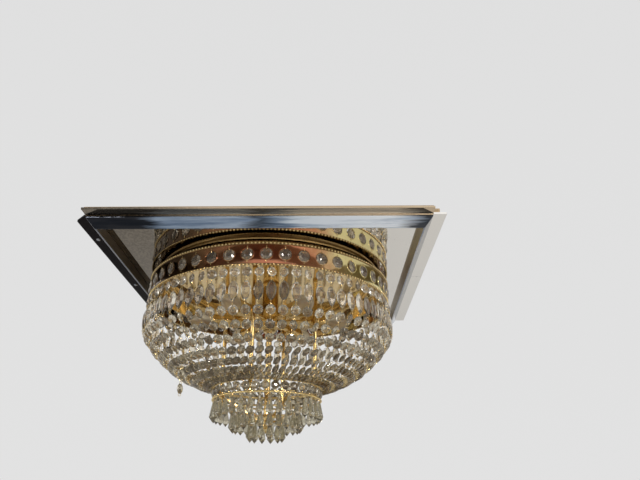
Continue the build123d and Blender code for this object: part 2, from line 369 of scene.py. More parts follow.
def split(tree, vector):
    """Outputs X, Y and Z of a vector."""
    made = node(tree, "ShaderNodeSeparateXYZ")
    tree.links.new(vector, made.inputs["Vector"])
    return made.outputs


def maths(tree, operation, *values):
    """Result of one operation on the values of sockets."""
    made = node(tree, "ShaderNodeMath", operation=operation)
    for value, socket in zip(values, made.inputs):
        tree.links.new(value, socket)
    return made.outputs["Value"]


def noise(tree, vector, scale, detail=4.0, roughness=0.55):
    """Cloudy noise between 0 and 1."""
    made = node(tree, "ShaderNodeTexNoise", Scale=scale, Detail=detail, Roughness=roughness)
    tree.links.new(vector, made.inputs["Vector"])
    return made.outputs["Fac"]


def ramp(tree, value, *stops):
    """Colour ramp from (place, colour) stops, where a single number is a grey."""
    made = node(tree, "ShaderNodeValToRGB")
    ends = made.color_ramp.elements
    while len(ends) < len(stops):
        ends.new(0.5)
    for end, (place, colour) in zip(ends, stops):
        end.position = place
        end.color = (*colour, 1) if hasattr(colour, "__len__") else (colour, colour, colour, 1)
    tree.links.new(value, made.inputs["Fac"])
    return made.outputs["Color"]


def spread(tree, value, low, high, from_low=0.0, from_high=1.0):
    """Maps from_low to from_high onto low to high, and holds the value at both ends."""
    made = node(tree, "ShaderNodeMapRange")
    made.inputs["From Min"].default_value = from_low
    made.inputs["From Max"].default_value = from_high
    made.inputs["To Min"].default_value = low
    made.inputs["To Max"].default_value = high
    tree.links.new(value, made.inputs["Value"])
    return made.outputs["Result"]


def blend(tree, factor, first, second, mode="MIX"):
    """Mix of two colours. Each, and the factor, may be a socket or a plain value."""
    made = node(tree, "ShaderNodeMix", data_type="RGBA", blend_type=mode)
    sockets = (made.inputs["Factor"], made.inputs[MIX_FIRST], made.inputs[MIX_SECOND])
    for value, socket in zip((factor, first, second), sockets):
        if isinstance(value, bpy.types.NodeSocket):
            tree.links.new(value, socket)
        else:
            socket.default_value = (*value, 1) if hasattr(value, "__len__") else value
    return made.outputs[MIX_RESULT]


def along_x(tree, coords, low, high, wavering):
    """0 at low to 1 at high along X, moved by a small wavering value."""
    share = spread(tree, split(tree, coords)["X"], 0.0, 1.0, low, high)
    return maths(tree, "ADD", share, wavering)


def away_from_origin(tree):
    """Above zero on faces that look away from the frame's origin, below zero towards it."""
    geometry = node(tree, "ShaderNodeNewGeometry")
    made = node(tree, "ShaderNodeVectorMath", operation="DOT_PRODUCT")
    tree.links.new(geometry.outputs["Normal"], made.inputs[0])
    tree.links.new(object_coords(tree), made.inputs[1])
    return made.outputs["Value"]


def bump(tree, shader, height, strength, distance):
    """Fine relief from a height, up to a distance in metres."""
    made = node(tree, "ShaderNodeBump", Strength=strength, Distance=distance)
    tree.links.new(height, made.inputs["Height"])
    tree.links.new(made.outputs["Normal"], shader.inputs["Normal"])


def paint(tree, shader, colour, roughness=None):
    """Links a colour to the shader, and a roughness if there is one."""
    tree.links.new(colour, shader.inputs["Base Color"])
    if roughness is not None:
        tree.links.new(roughness, shader.inputs["Roughness"])


# Materials

# Heights in metres between which painted shade darkens the glass, from none above to full below
UNSHADED_ABOVE = -0.10
FULL_SHADE_BELOW = -0.15

# How the painted reflection, its painted streaks and the fine relief on a bar are drawn out, as
# scales of their noise
DRAWN_ALONG_X = (1, 14, 14)
DRAWN_ALONG_Y = (14, 1, 14)


def brass_material(name, bright, dark, tarnish, low, high, outside=None):
    """Polished brass with cloudy tarnish: three tones, and roughness from low to high.

    The outside tone, if given, is painted shade: it darkens the faces that look away from the
    frame's origin.
    """
    material, tree, shader = new_material(name, Metallic=1.0)
    coords = object_coords(tree)
    clouds = noise(tree, coords, 22.0, 6.0, 0.6)
    tones = ramp(tree, clouds, (0.30, dark), (0.52, bright), (0.80, bright))
    specks = noise(tree, coords, 240.0, 3.0, 0.5)
    marks = ramp(tree, specks, (0.64, 0.0), (0.74, 1.0))
    colour = blend(tree, marks, tones, tarnish)
    if outside:
        # Painted shade on the faces that look away from the frame's origin, such as the canopy's
        # outer wall behind the band
        away = spread(tree, away_from_origin(tree), 0.0, 1.0, 0.10, 0.16)
        colour = blend(tree, away, colour, outside, "MULTIPLY")
    paint(tree, shader, colour, spread(tree, clouds, high, low))
    bump(tree, shader, noise(tree, coords, 90.0, 2.0), 0.12, 0.0006)
    return material


def band_material():
    """Lacquered brass that has gone red-brown, and is still yellow in a stretch towards +X. Its
    dark end towards -X is a painted reflection.
    """
    material, tree, shader = new_material("band_brass", Metallic=1.0)
    coords = object_coords(tree)
    clouds = noise(tree, coords, 9.0, 5.0, 0.6)
    # The dark stops towards -X are a painted reflection on the band's left end
    colour = ramp(
        tree,
        along_x(tree, coords, -0.22, 0.22, spread(tree, clouds, -0.12, 0.12, 0.25, 0.75)),
        (0.20, (0.13, 0.08, 0.042)),
        (0.33, (0.26, 0.14, 0.07)),
        (0.42, (0.48, 0.18, 0.10)),
        (0.62, (0.52, 0.23, 0.12)),
        (0.69, (0.68, 0.50, 0.26)),
        (0.75, (0.92, 0.82, 0.42)),
        (0.90, (0.86, 0.76, 0.38)),
        (0.96, (0.50, 0.24, 0.15)),
    )
    paint(tree, shader, colour, spread(tree, clouds, 0.05, 0.16))
    bump(tree, shader, noise(tree, coords, 70.0, 2.0), 0.08, 0.0006)
    return material


def chrome_material(name, drawn, inside, *stops):
    """Polished steel bar, brushed on its inner side, which has a tone of painted shade. Stops
    give its painted reflection along X.
    """
    material, tree, shader = new_material(name, Metallic=1.0)
    coords = object_coords(tree)
    wander = noise(tree, object_coords(tree, drawn), 9.0, 5.0, 0.65)
    along = along_x(tree, coords, -0.3, 0.3, spread(tree, wander, -0.10, 0.10))
    # Painted reflection: tone stops along X, times painted streaks drawn along the bar
    painted_streaks = ramp(tree, wander, (0.38, (0.50, 0.56, 0.64)), (0.58, 1.0))
    painted_bar_reflection = blend(tree, 1.0, ramp(tree, along, *stops), painted_streaks, "MULTIPLY")
    # Faces towards the frame's origin take the inside tone, which is painted shade, and are
    # rougher
    inner = spread(tree, away_from_origin(tree), 1.0, 0.0, -0.16, -0.12)
    smudge = spread(tree, noise(tree, coords, 14.0, 5.0, 0.6), 0.02, 0.09)
    brushed = spread(tree, inner, 0.0, 0.5)
    roughness = maths(tree, "MAXIMUM", smudge, brushed)
    paint(tree, shader, blend(tree, inner, painted_bar_reflection, inside), roughness)
    bump(tree, shader, noise(tree, object_coords(tree, drawn), 60.0, 2.0), 0.10, 0.0003)
    return material


def mirror_material(name, left, right, haze, edge_tone=1.0):
    """Silvered glass with worn specks. Its tint from left to right is a painted reflection,
    grainy at the left.

    The edge tone is the grey of what it mirrors at a slant.
    """
    material, tree, shader = new_material(
        name, Metallic=1.0, Specular_Tint=(edge_tone, edge_tone, edge_tone, 1)
    )
    coords = object_coords(tree)
    smear = noise(tree, object_coords(tree, (1, 3, 1)), 7.0, 6.0, 0.65)
    across = along_x(tree, coords, -0.26, 0.30, spread(tree, smear, -0.06, 0.06))
    nearly_right = [(a + 3 * b) / 4 for a, b in zip(left, right)]
    # Painted reflection: the tint runs from dark at the left to pale at the right
    painted_reflection_tint = ramp(tree, across, (0.14, left), (0.36, nearly_right), (0.92, right))
    specks = noise(tree, coords, 160.0, 2.0)
    gone = ramp(tree, specks, (0.73, 1.0), (0.78, (0.25, 0.23, 0.20)))
    grains = noise(tree, object_coords(tree, (1, 0.6, 1)), 330.0, 2.0)
    grain_tone = ramp(tree, grains, (0.42, 0.55), (0.60, 1.0))
    grainy = spread(tree, across, 0.8, 0.0, 0.14, 0.40)
    colour = blend(tree, 1.0, painted_reflection_tint, gone, "MULTIPLY")
    colour = blend(tree, grainy, colour, grain_tone, "MULTIPLY")
    paint(tree, shader, colour, spread(tree, smear, 0.008, haze, 0.3, 0.8))
    return material


def crystal_material(name, light, smoky, clear=0.90):
    """Cut glass. Each crystal has its own tone and dust dulls its facets; painted shade darkens
    it low down.
    """
    material, tree, shader = new_material(name, Transmission_Weight=clear, IOR=1.52)
    coords = object_coords(tree)
    each = node(tree, "ShaderNodeNewGeometry").outputs["Random Per Island"]
    own_tone = ramp(tree, each, (0.0, smoky), (0.7, light))
    # Painted shade: the glass darkens towards the bottom, between the heights set at the top of
    # the materials
    low = spread(tree, split(tree, coords)["Z"], 0.0, 1.0, UNSHADED_ABOVE, FULL_SHADE_BELOW)
    dust = noise(tree, coords, 130.0, 4.0)
    colour = blend(tree, low, own_tone, (0.70, 0.68, 0.61), "MULTIPLY")
    paint(tree, shader, colour, spread(tree, dust, 0.0, 0.045, 0.35, 0.8))
    return material


def opal_material():
    """Candle bulb of warm, cloudy glass that lets light through."""
    material, tree, shader = new_material(
        "opal_bulb", Roughness=0.30, Transmission_Weight=0.85, Coat_Weight=0.4
    )
    cloud = noise(tree, object_coords(tree), 60.0, 3.0)
    paint(tree, shader, ramp(tree, cloud, (0.3, (0.66, 0.56, 0.40)), (0.7, (0.80, 0.72, 0.56))))
    bump(tree, shader, cloud, 0.05, 0.0004)
    return material


def plywood_material():
    """Plywood: long grain on the faces, and plies on the edges by height."""
    material, tree, shader = new_material("plywood", Roughness=0.75)
    grain = noise(tree, object_coords(tree, (2, 40, 2)), 6.0, 8.0, 0.65)
    tone = ramp(tree, grain, (0.30, (0.36, 0.25, 0.14)), (0.70, (0.62, 0.48, 0.31)))
    plies = node(tree, "ShaderNodeTexWave", bands_direction="Z", Scale=106.0, Distortion=0.4)
    tree.links.new(object_coords(tree), plies.inputs["Vector"])
    layers = ramp(tree, plies.outputs["Fac"], (0.2, (0.70, 0.66, 0.60)), (0.8, 1.0))
    geometry = node(tree, "ShaderNodeNewGeometry")
    level = maths(tree, "ABSOLUTE", split(tree, geometry.outputs["Normal"])["Z"])
    edge = spread(tree, level, 1.0, 0.0)
    paint(tree, shader, blend(tree, edge, tone, layers, "MULTIPLY"))
    bump(tree, shader, grain, 0.35, 0.0006)
    return material


BAND = band_material()
BRASS = brass_material(
    "brass", (0.78, 0.57, 0.25), (0.58, 0.38, 0.14), (0.30, 0.18, 0.07), 0.04, 0.12
)
GILT = brass_material(
    "gilt_wire", (0.86, 0.68, 0.34), (0.74, 0.55, 0.26), (0.45, 0.31, 0.14), 0.08, 0.18
)
# The dark tone of this brass on the rims and brackets is painted shade, as in the gap behind the
# band
SHADED_BRASS = brass_material(
    "brass_painted_dark", (0.28, 0.18, 0.08), (0.16, 0.09, 0.04), (0.08, 0.05, 0.02), 0.16, 0.34
)
# The canopy's outside tone is painted shade on its wall behind the band
CANOPY_BRASS = brass_material(
    "canopy_brass", (0.82, 0.62, 0.30), (0.60, 0.41, 0.17), (0.34, 0.21, 0.08), 0.03, 0.10,
    outside=(0.52, 0.46, 0.40),
)
# The stops of each bar are its painted reflection along X, and its inside tone is painted shade
FAR_STEEL = chrome_material(
    "polished_far_bar",
    DRAWN_ALONG_X,
    (0.42, 0.37, 0.30),
    (0.0, (0.30, 0.31, 0.33)),
    (1.0, (0.50, 0.51, 0.53)),
)
SIDE_STEEL = chrome_material(
    "polished_side_bar",
    DRAWN_ALONG_Y,
    (0.42, 0.37, 0.30),
    (0.0, (0.20, 0.21, 0.23)),
    (1.0, (0.46, 0.46, 0.48)),
)
NEAR_STEEL = chrome_material(
    "polished_near_bar",
    DRAWN_ALONG_X,
    (0.60, 0.55, 0.50),
    (0.22, (0.03, 0.032, 0.038)),
    (0.27, (0.30, 0.38, 0.50)),
    (0.46, (0.42, 0.51, 0.64)),
    (0.50, (0.08, 0.10, 0.13)),
    (0.54, (0.24, 0.31, 0.41)),
    (0.60, (0.74, 0.82, 0.92)),
    (0.84, (0.88, 0.93, 1.00)),
    (0.89, (0.07, 0.075, 0.085)),
)
# The mirrors' tints, dark at the left and pale at the right, are painted reflections
MIRROR = mirror_material("silvered_glass", (0.22, 0.185, 0.14), (0.96, 0.93, 0.88), 0.05)
EDGE_MIRROR = mirror_material("edge_strip", (0.26, 0.22, 0.17), (0.66, 0.52, 0.36), 0.06)
# The left strip's near-black tone is a painted reflection
DARK_MIRROR = mirror_material(
    "strip_painted_dark", (0.03, 0.027, 0.028), (0.04, 0.036, 0.036), 0.10, edge_tone=0.5
)
BEAD_GLASS = crystal_material("cut_glass", (0.94, 0.88, 0.75), (0.38, 0.32, 0.24), 0.94)
DROP_GLASS = crystal_material("drop_glass", (1.0, 0.97, 0.86), (0.84, 0.78, 0.66), 0.93)
STONE_GLASS = crystal_material("band_glass", (0.58, 0.51, 0.41), (0.34, 0.28, 0.21))
OPAL = opal_material()
PLYWOOD = plywood_material()


# Mirror panel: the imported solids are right, and get fine edges and their finish

def dress(node_name, material, edge):
    """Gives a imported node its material, and a narrow bevel that catches the light."""
    shown = NODES[node_name]
    shown.data.materials.clear()
    shown.data.materials.append(material)
    if edge:
        joined = shown.modifiers.new("weld", "WELD")
        joined.merge_threshold = 0.00001
        bevel = shown.modifiers.new("edge", "BEVEL")
        bevel.width = edge * MM
        bevel.segments = 2
        bevel.limit_method = "ANGLE"
        bevel.angle_limit = math.radians(20)
        bevel.harden_normals = False


# node, its material and the width of its bevel in millimetres
PANEL = (
    ("backing_board", PLYWOOD, 0.4),
    ("main_mirror", MIRROR, 0),
    ("strip_far", MIRROR, 0.6),
    ("strip_right", MIRROR, 0.6),
    ("strip_near", EDGE_MIRROR, 0.6),
    ("strip_left", DARK_MIRROR, 0.6),
    ("trim_near", NEAR_STEEL, 0.5),
    ("trim_far", FAR_STEEL, 0.5),
    ("trim_right", SIDE_STEEL, 0.5),
    ("trim_left", SIDE_STEEL, 0.5),
)

# Shares of the left strip's length, from its near end
SCREW_PLACES = (0.16, 0.55, 0.90)


def strip_screws():
    """Three dome-headed screws that hold the left strip, whose near-black tone is a painted
    reflection.
    """
    low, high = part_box("strip_left")
    heads = Shape()
    middle_x = (low.x + high.x) / 2
    dome = [(0.2, -1.9), (1.6, -1.7), (2.8, -1.1), (3.5, -0.3), (3.6, 0.2)]
    for share in SCREW_PLACES:
        place = Vector((middle_x, low.y + share * (high.y - low.y), low.z))
        heads.add(*lathe(dome, sides=20), hung_at(place))
    heads.make("strip_screws", FAR_STEEL, "chrome", smooth_angle=50)


for row in PANEL:
    dress(*row)
strip_screws()


# Crystals: cut shapes in place of the plain solids, hung by wire rings

def octagon(width, height, thickness):
    """Octagon bead: girdle, and on each side two rows of facets round a small table."""
    half_girdle = 0.45
    corner = math.pi / 8
    reach = 1 / math.cos(corner)

    def ring(share, depth, shift):
        """Eight corners at a share of the full size, a depth and a turn."""
        points = []
        for k in range(8):
            a = corner + k * math.pi / 4 + shift
            x = share * reach * width / 2 * math.cos(a)
            z = share * reach * height / 2 * math.sin(a)
            points.append((x, depth, z))
        return points

    verts = []
    faces = []
    for side in (-1, 1):
        start = len(verts)
        verts += ring(1.0, side * half_girdle, 0)
        verts += ring(0.66, side * thickness * 0.36, corner)
        verts += ring(0.34, side * thickness * 0.5, 0)
        made = []
        for r in range(2):
            low, high = start + 8 * r, start + 8 * (r + 1)
            for k in range(8):
                n = (k + 1) % 8
                if r == 0:
                    made.append((low + k, low + n, high + k))
                    made.append((low + n, high + n, high + k))
                else:
                    made.append((low + k, high + n, high + k))
                    made.append((low + k, low + n, high + n))
        made.append(tuple(start + 16 + k for k in range(8)))
        if side > 0:
            made = [tuple(reversed(face)) for face in made]
        faces.extend(made)
    back = len(verts) // 2
    for k in range(8):
        n = (k + 1) % 8
        faces.append((k, back + k, back + n, n))
    return verts, faces


def long_prism(width, length, thickness):
    """Long cut prism: narrow ends, flat front and back, and bevels that meet at its sides."""
    profile = (
        # share of the width, share of the half length
        (0.18, 1.0),
        (0.66, 0.72),
        (1.0, 0.30),
        (0.98, -0.30),
        (0.62, -0.72),
        (0.16, -1.0),
    )
    rings = []
    for share, height in profile:
        w = share * width / 2
        t = share * thickness / 2
        z = length / 2 * height
        outline = [(w, 0), (w * 0.5, t), (-w * 0.5, t), (-w, 0), (-w * 0.5, -t), (w * 0.5, -t)]
        rings.append([(x, y, z) for x, y in reversed(outline)])
    return loft(rings)


def pear_drop(width, length):
    """Cut icicle drop: slim neck, low belly, short point, fluted by flat facets."""
    profile = (
        # share of the length from the top, share of the width
        (1.00, 0.04),
        (0.78, 1.00),
        (0.74, 1.00),
        (0.12, 0.34),
        (0.06, 0.20),
    )
    rings = []
    for place, share in profile:
        rings.append(circle(width / 2 * share, length * (0.5 - place), 8, turn=math.pi / 8))
    return loft(rings)


# The cut shapes: width, height and thickness
BEAD = octagon(14.6, 15.0, 7.0)
ROW_BEAD = octagon(13.2, 13.2, 6.6)
STONE = octagon(17.4, 17.4, 7.0)
PRISM = long_prism(15.4, 33.4, 7.4)
DROP_LENGTH = 33.5
DROP = pear_drop(12.6, DROP_LENGTH)

# Wire rings, as far in from a prism's tip as from a packed bead's, and below a drop's top
BEAD_RING = torus(major=2.2, minor=0.34, around=12, across=5)
BEAD_TIP = 11.15
BEAD_RING_PLACE = 8.8
RING_INSET = BEAD_TIP - BEAD_RING_PLACE
DROP_RING = torus(major=1.7, minor=0.32, around=12, across=5)
DROP_RING_PLACE = -1.9

# A longer crystal than this is a prism
PRISM_LEAST = 30.0

# A bead that is packed with more than this turn from facing out is in a crowded place.
# There beads turn aside until the middle planes of neighbours are this far apart.
STRANDS = 72
CROWDED_LEAST = math.radians(60)
CROWDED_SPACING = 7.2

# How far crystals hang off true by chance, and how far the loose beads are turned, in radians
CROWDED_SWING = 0.05
BEAD_SWING = 0.34
PRISM_SWING = 0.16
ROW_SWING = 0.10
STONE_SWING = 0.12
DROP_TILT = 0.02
LOOSE_TURN = math.radians(62)

# Pins of the row beads: where they start from a bead's middle, and their radius
ROW_PIN_START = 5.6
ROW_PIN_RADIUS = 0.45


def hang_strand(name, node_name, turned=0.0):
    """Beads and prisms of one node, each a little off true, with the rings between them."""
    glass = Shape()
    rings = Shape()
    for crystal in crystals(node_name):
        facing = crystal.facing()
        around = math.hypot(crystal.middle.x - AXIS.x, crystal.middle.y - AXIS.y) * 2 * math.pi
        gap = around / MM / STRANDS
        prism = crystal.length > PRISM_LEAST
        if prism:
            swing = chance(PRISM_SWING) - facing
        elif abs(facing) > CROWDED_LEAST:
            aside = math.copysign(math.asin(min(1.0, CROWDED_SPACING / gap)), facing)
            swing = aside - facing + chance(CROWDED_SWING)
        else:
            swing = turned + chance(BEAD_SWING)
        matrix = crystal.matrix(swing)
        glass.add(*(PRISM if prism else BEAD), matrix)
        ring_place = crystal.length / 2 - RING_INSET if prism else BEAD_RING_PLACE
        quarter = Matrix.Rotation(math.pi / 2, 4, "Z")
        for end in (-1, 1):
            place = Matrix.Translation((0, 0, end * ring_place))
            rings.add(*BEAD_RING, matrix @ place @ quarter)
    glass.make(name, BEAD_GLASS, "crystal", replaces=(node_name,))
    rings.make(name + "_rings", GILT, "brass", smooth_angle=60)


def hang_row():
    """Beads between the two hoops, each with a straight pin at its top and its foot."""
    glass = Shape()
    pins = Shape()
    for crystal in crystals("lower_bead_row"):
        matrix = crystal.matrix(chance(ROW_SWING))
        glass.add(*ROW_BEAD, matrix)
        for end in (-1, 1):
            route = [(0, 0, end * ROW_PIN_START), (0, 0, end * crystal.length / 2)]
            pins.add(*wire(route, ROW_PIN_RADIUS), matrix)
    glass.make("row_beads", BEAD_GLASS, "crystal", replaces=("lower_bead_row",))
    pins.make("row_pins", GILT, "brass", smooth_angle=60)


def hang_drops():
    """Three tiers of cut drops, each on a wire ring under its hoop."""
    for tier in ("outer", "middle", "inner"):
        glass = Shape()
        rings = Shape()
        for points in islands(f"drops_{tier}"):
            x, y, top = points[points[:, 2].argmax()]
            length = (top - points[:, 2].min()) / MM
            tilt = Matrix.Rotation(chance(DROP_TILT), 4, "X")
            turn = Matrix.Rotation(float(random.uniform(0, math.pi)), 4, "Z")
            place = Matrix.Translation((x, y, top)) @ tilt @ turn @ Matrix.Scale(MM, 4)
            down = Matrix.Translation((0, 0, -length + DROP_LENGTH / 2))
            glass.add(*DROP, place @ down)
            rings.add(*DROP_RING, place @ Matrix.Translation((0, 0, DROP_RING_PLACE)))
        glass.make(f"cut_drops_{tier}", DROP_GLASS, "crystal", replaces=(f"drops_{tier}",))
        rings.make(f"drop_rings_{tier}", GILT, "brass", smooth_angle=60)


for number in range(1, 9):
    hang_strand(f"basket_{number}", f"strands_{number}")
hang_strand("loose_end", "loose_strand", LOOSE_TURN)
hang_row()
hang_drops()


# Pierced band: rolled sheet with round holes, pearled edges and pinned crystals

BAND_RADIUS = 214.0
BAND_SHEET = 1.5
BAND_TOP, BAND_BOTTOM = drops_of("pierced_band")
BAND_MIDDLE = (BAND_BOTTOM + BAND_TOP) / 2
HOLES = crystals("band_crystals")
HOLE_ANGLES = sorted(
    math.atan2(hole.middle.y - AXIS.y, hole.middle.x - AXIS.x) for hole in HOLES
)
HOLE_STEP = 2 * math.pi / len(HOLES)
HOLE_RADIUS = 9.7
HOLE_RAYS = 40

# Raised lip round a hole: distance from the hole's edge, height above the band
LIP = ((0.0, 0.0), (0.1, 0.35), (0.4, 0.55), (0.8, 0.35), (1.0, 0.0))

# Each rim reaches a little past the sheet and has five pearls to a hole
RIM_REACH = 1.0
RIM_CUT = 0.6
RIM_PEARL = 1.8
RIM_PEARL_REACH = 0.75
RIM_PEARL_INSET = 0.3
PEARLS_PER_HOLE = 5
RIM_SIDES_PER_HOLE = 4

# Pin over a hole's edge: height from the hole's middle, distance out
STONE_PIN = ((6.8, 0), (8.4, 0.4), (10.2, 1.0), (13.2, 0.6))
STONE_PIN_RADIUS = 0.42


def hole_rays():
    """Rays from a hole's middle: points over the lip, then one on the edge of its patch."""
    half_w = HOLE_STEP * BAND_RADIUS / 2
    half_h = (BAND_BOTTOM - BAND_TOP) / 2
    corners = {math.atan2(sy * half_h, sx * half_w) for sx in (1, -1) for sy in (1, -1)}
    even = {2 * math.pi * k / HOLE_RAYS - math.pi for k in range(HOLE_RAYS)}
    rays = []
    for a in sorted(even | corners):
        c, s = math.cos(a), math.sin(a)
        reach = min(half_w / max(abs(c), 1e-9), half_h / max(abs(s), 1e-9))
        steps = [(HOLE_RADIUS + out, raised) for out, raised in LIP] + [(reach, 0.0)]
        rays.append([(far * c, far * s, raised) for far, raised in steps])
    return rays


def rolled(u, v, radius, angle):
    """A point of a hole's flat patch, rolled onto the band at a radius and angle."""
    turn = angle + u / BAND_RADIUS
    return radius * math.cos(turn), radius * math.sin(turn), v - BAND_MIDDLE


def ray_faces(count, steps):
    """Faces between neighbouring rays that have equally many points each."""
    faces = []
    for k in range(count):
        n = (k + 1) % count
        for j in range(steps - 1):
            faces.append((k * steps + j, k * steps + j + 1, n * steps + j + 1, n * steps + j))
    return faces


def outer_skin(rays, angle):
    """Faces between neighbouring rays on the band's outside, raised at the lip."""
    points = []
    for ray in rays:
        points += [rolled(u, v, BAND_RADIUS + raised, angle) for u, v, raised in ray]
    return points, ray_faces(len(rays), len(rays[0]))


def inner_skin(rays, angle):
    """The same on the band's inside, flat and facing in."""
    points = []
    for ray in rays:
        points += [rolled(u, v, BAND_RADIUS - BAND_SHEET, angle) for u, v, _ in ray]
    faces = ray_faces(len(rays), len(rays[0]))
    return points, [tuple(reversed(face)) for face in faces]


def hole_wall(rays, angle):
    """Wall through the sheet at the hole's edge."""
    points = []
    for ray in rays:
        u, v, _ = ray[0]
        for radius in (BAND_RADIUS, BAND_RADIUS - BAND_SHEET):
            points.append(rolled(u, v, radius, angle))
    faces = []
    for k in range(len(rays)):
        n = (k + 1) % len(rays)
        faces.append((2 * k, 2 * n, 2 * n + 1, 2 * k + 1))
    return points, faces


def band_sheet():
    """One patch a hole, on both skins of the band, and the lips as a piece of their own."""
    rays = hole_rays()
    lip_rays = [ray[:-1] for ray in rays]
    flat_rays = [ray[-2:] for ray in rays]
    sheet = Shape()
    lips = Shape()
    for angle in HOLE_ANGLES:
        sheet.add(*outer_skin(flat_rays, angle), about_axis())
        sheet.add(*inner_skin(rays, angle), about_axis())
        sheet.add(*hole_wall(rays, angle), about_axis())
        lips.add(*outer_skin(lip_rays, angle), about_axis())
    made = sheet.make("band_sheet", BAND, "brass", replaces=("pierced_band",))
    weld(made, distance=0.00002, angle=40)
    lips.make("hole_lips", BAND, "brass", smooth_angle=60)


def pearled_rim(name, node_name, pearls_below):
    """Folded edge of the band with a row of pearls pressed along it."""
    top, bottom = drops_of(node_name)
    section = ring_section(
        BAND_RADIUS - BAND_SHEET, BAND_RADIUS + RIM_REACH, top, bottom, RIM_CUT
    )
    sides = RIM_SIDES_PER_HOLE * len(HOLES)
    rim = Shape().add(*turned_ring(section, sides), about_axis())
    pearls = Shape()
    count = PEARLS_PER_HOLE * len(HOLES)
    drop = bottom - RIM_PEARL_INSET if pearls_below else top + RIM_PEARL_INSET
    pearl = ball(RIM_PEARL)
    for k in range(count):
        angle = 2 * math.pi * (k + 0.5) / count
        pearls.add(*pearl, round_axis(BAND_RADIUS + RIM_PEARL_REACH, angle, drop))
    rim.make(name, SHADED_BRASS, "brass", replaces=(node_name,), smooth_angle=50)
    pearls.make(name + "_pearls", GILT, "brass", smooth_angle=60)


def band_stones():
    """Crystals in the holes, each held by a pin over the hole's top and bottom edge."""
    glass = Shape()
    pins = Shape()
    for hole in HOLES:
        glass.add(*STONE, hole.matrix(chance(STONE_SWING)))
        for end in (-1, 1):
            route = [(0, out, end * height) for height, out in STONE_PIN]
            pins.add(*wire(route, STONE_PIN_RADIUS), hole.matrix())
    glass.make("band_stones", STONE_GLASS, "crystal", replaces=("band_crystals",))
    pins.make("band_pins", GILT, "brass", smooth_angle=60)


band_sheet()
pearled_rim("rim_upper_pearled", "rim_upper", False)
pearled_rim("rim_lower_pearled", "rim_lower", True)
band_stones()
dress("band_brackets", SHADED_BRASS, 0.5)


# Canopy, hoops and spider

# hoop, pearls along its outer edge
HOOPS = (("upper_hoop", 110), ("hoop_outer", 110), ("hoop_middle", 0), ("hoop_inner", 0))
HOOP_CUT = 0.7
HOOP_PEARL = 1.6
HOOP_PEARL_INSET = 0.4
DISH_RADIUS = 203.0

# Bore that lets the tube through the dish and the column
BORE_RADIUS = 5.4


def hoops():
    """Round hoops in place of many-sided ones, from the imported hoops' own radii."""
    pearl = ball(HOOP_PEARL)
    for node_name, pearls in HOOPS:
        points = np.concatenate(islands(node_name))
        radii = np.hypot(points[:, 0] - AXIS.x, points[:, 1] - AXIS.y) / MM
        middle = (radii.min() + radii.max()) / 2
        outer = radii[radii > middle].mean()
        inner = radii[radii < middle].mean()
        top = drop_of(points[:, 2].max())
        bottom = drop_of(points[:, 2].min())
        section = ring_section(inner, outer, top, bottom, HOOP_CUT)
        hoop = Shape().add(*turned_ring(section, sides=96), about_axis())
        for k in range(pearls):
            angle = 2 * math.pi * k / pearls
            hoop.add(*pearl, round_axis(outer, angle, bottom - HOOP_PEARL_INSET))
        hoop.make(node_name + "_ring", GILT, "brass", replaces=(node_name,), smooth_angle=50)


def canopy():
    """Polished dish: flat plate, rounded shoulder and a wall with a rolled lip."""
    _, wall_bottom = drops_of("canopy_wall")
    radius = DISH_RADIUS
    section = [
        (BORE_RADIUS, -0.1),
        (radius - 5, -0.1),
        (radius - 1.5, -1.2),
        (radius, -4.0),
        (radius, -wall_bottom + 1.6),
        (radius + 0.9, -wall_bottom + 0.9),
        (radius + 0.5, -wall_bottom),
        (radius - 0.9, -wall_bottom + 0.1),
        (radius - 1.5, -wall_bottom + 1.6),
        (radius - 1.5, -4.6),
        (radius - 3.0, -2.4),
        (radius - 6, -1.5),
        (BORE_RADIUS, -1.5),
    ]
    dish = Shape().add(*turned_ring(section, sides=160), about_axis())
    replaced = ("canopy_plate", "canopy_wall")
    dish.make("canopy_dish", CANOPY_BRASS, "brass", replaces=replaced, smooth_angle=40)


hoops()
canopy()
dress("drop_spider", BRASS, 0.6)


# Rods, tube, column and finial

def rods():
    """Round rods, each with a cap at its top and a nut at its foot."""
    made = Shape()
    for points in islands("hanging_rods"):
        x, y = (points[:, k].mean() for k in (0, 1))
        top = points[:, 2].max()
        length = (top - points[:, 2].min()) / MM
        profile = [
            (1.2, -length),
            (3.4, -length),
            (4.4, -length + 1.0),
            (4.4, -length + 3.0),
            (3.5, -length + 4.0),
            (3.5, -5.0),
            (4.6, -4.0),
            (4.6, -1.0),
            (4.0, 0.0),
        ]
        made.add(*lathe(profile, sides=24), hung_at((x, y, top)))
    made.make("rods", BRASS, "brass", replaces=("hanging_rods",), smooth_angle=40)


def centre_tube():
    """Plain tube that carries everything below the dish."""
    _, length = drops_of("centre_tube")
    profile = [(1.5, -length), (5.0, -length), (5.0, -0.1), (1.5, -0.1)]
    tube = Shape().add(*lathe(profile, sides=32), about_axis())
    tube.make("tube", BRASS, "brass", replaces=("centre_tube",), smooth_angle=40)


def lamp_column():
    """Turned column on the tube, with a stepped foot and a ring near its top."""
    top, bottom = drops_of("lamp_column")
    section = [
        (BORE_RADIUS, -bottom),
        (9.0, -bottom),
        (11.0, -bottom + 2.0),
        (11.0, -bottom + 4.0),
        (14.0, -bottom + 7.0),
        (15.4, -bottom + 9.0),
        (15.4, -bottom + 12.0),
        (15.0, -bottom + 13.0),
        (15.0, -top - 10.0),
        (15.4, -top - 9.0),
        (15.4, -top - 3.0),
        (14.6, -top),
        (BORE_RADIUS, -top),
    ]
    column = Shape().add(*turned_ring(section, sides=64), about_axis())
    column.make("column", BRASS, "brass", replaces=("lamp_column",), smooth_angle=35)


